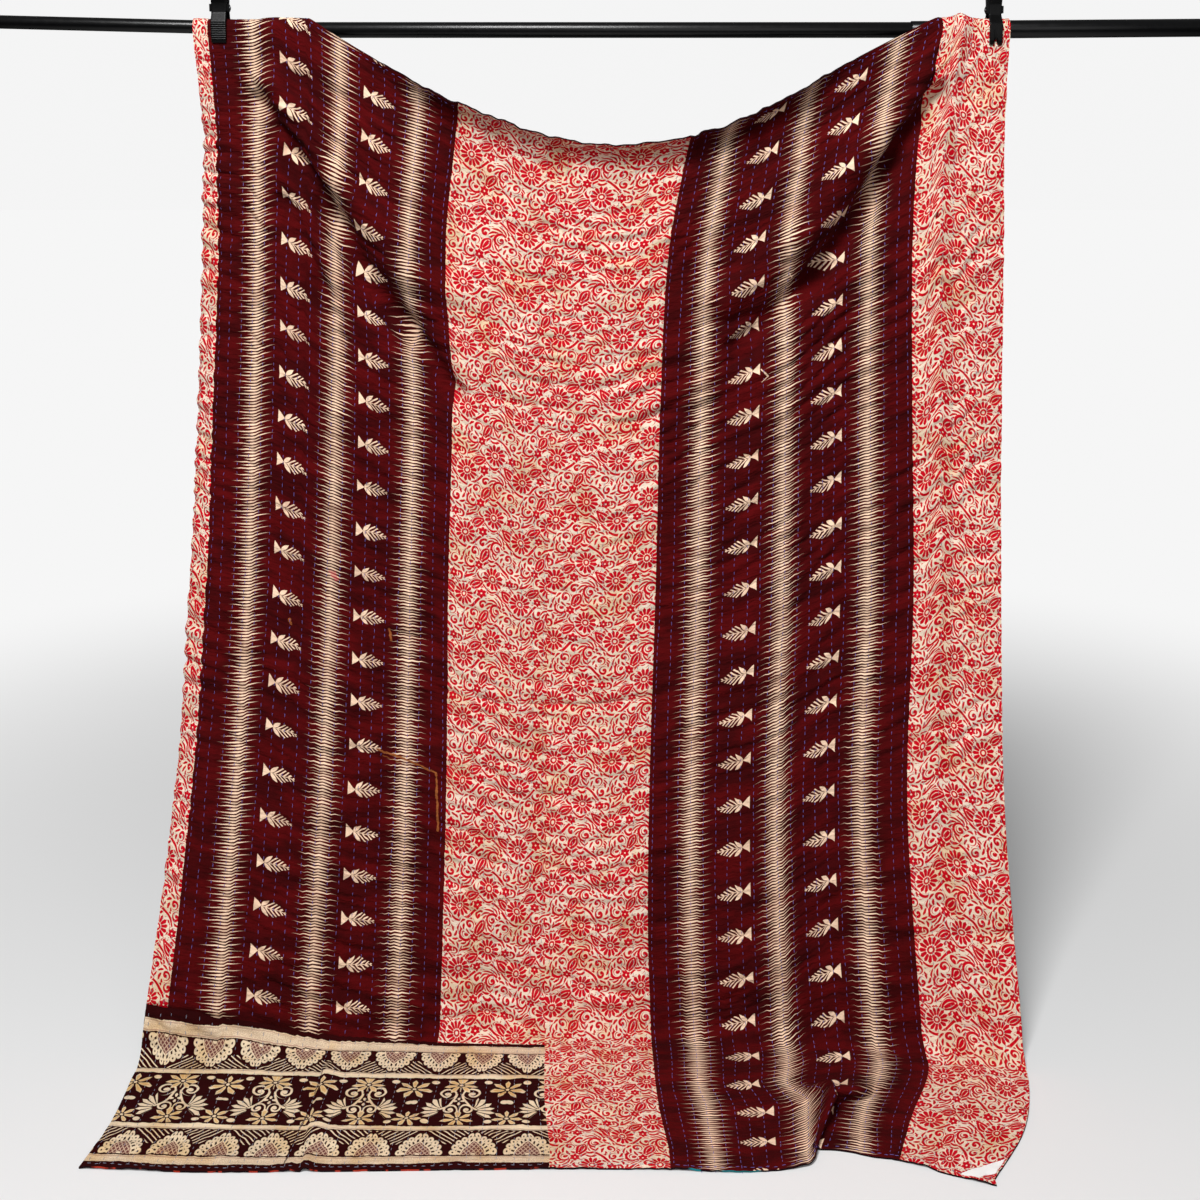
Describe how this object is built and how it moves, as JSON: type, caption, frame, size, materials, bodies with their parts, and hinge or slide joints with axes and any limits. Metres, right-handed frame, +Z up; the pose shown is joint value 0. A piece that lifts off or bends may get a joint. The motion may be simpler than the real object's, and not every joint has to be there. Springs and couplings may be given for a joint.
{
  "type": "kantha quilt clamped to a crossbar",
  "caption": "Hand-stitched kantha quilt of printed floral, striped and bordered cotton panels, clamped near its top corners to a telescoping crossbar, sagging between and trailing on the floor.",
  "frame": {"origin": "on the crossbar's axis at mid-length", "axes": "+X along the crossbar to the viewer's right, +Y away from the viewer, +Z up"},
  "size_m": [2.1202, 0.6023, 1.7441],
  "materials": {
    "floral_cotton": "matte",
    "maroon_cotton": "matte",
    "border_cotton": "matte",
    "label_tape": "matte",
    "bar_enamel": "satin",
    "clamp_nylon": "satin",
    "clamp_steel": "brushed"
  },
  "bodies": {
    "root": {"left_floral_strip": "floral_cotton", "left_maroon_panel": "maroon_cotton", "centre_floral_left": "floral_cotton", "centre_floral_right": "floral_cotton", "right_maroon_panel": "maroon_cotton", "right_floral_strip": "floral_cotton", "border_panel": "border_cotton", "corner_label": "label_tape", "bar_left_tube": "bar_enamel", "bar_left_plug": "clamp_nylon", "bar_middle_tube": "bar_enamel", "bar_right_tube": "bar_enamel", "bar_right_plug": "clamp_nylon", "left_clamp_front_lever": "clamp_nylon", "left_clamp_back_lever": "clamp_nylon", "left_clamp_pin": "clamp_steel", "left_clamp_spring": "clamp_steel", "right_clamp_front_lever": "clamp_nylon", "right_clamp_back_lever": "clamp_nylon", "right_clamp_pin": "clamp_steel", "right_clamp_spring": "clamp_steel"}
  },
  "joints": []
}
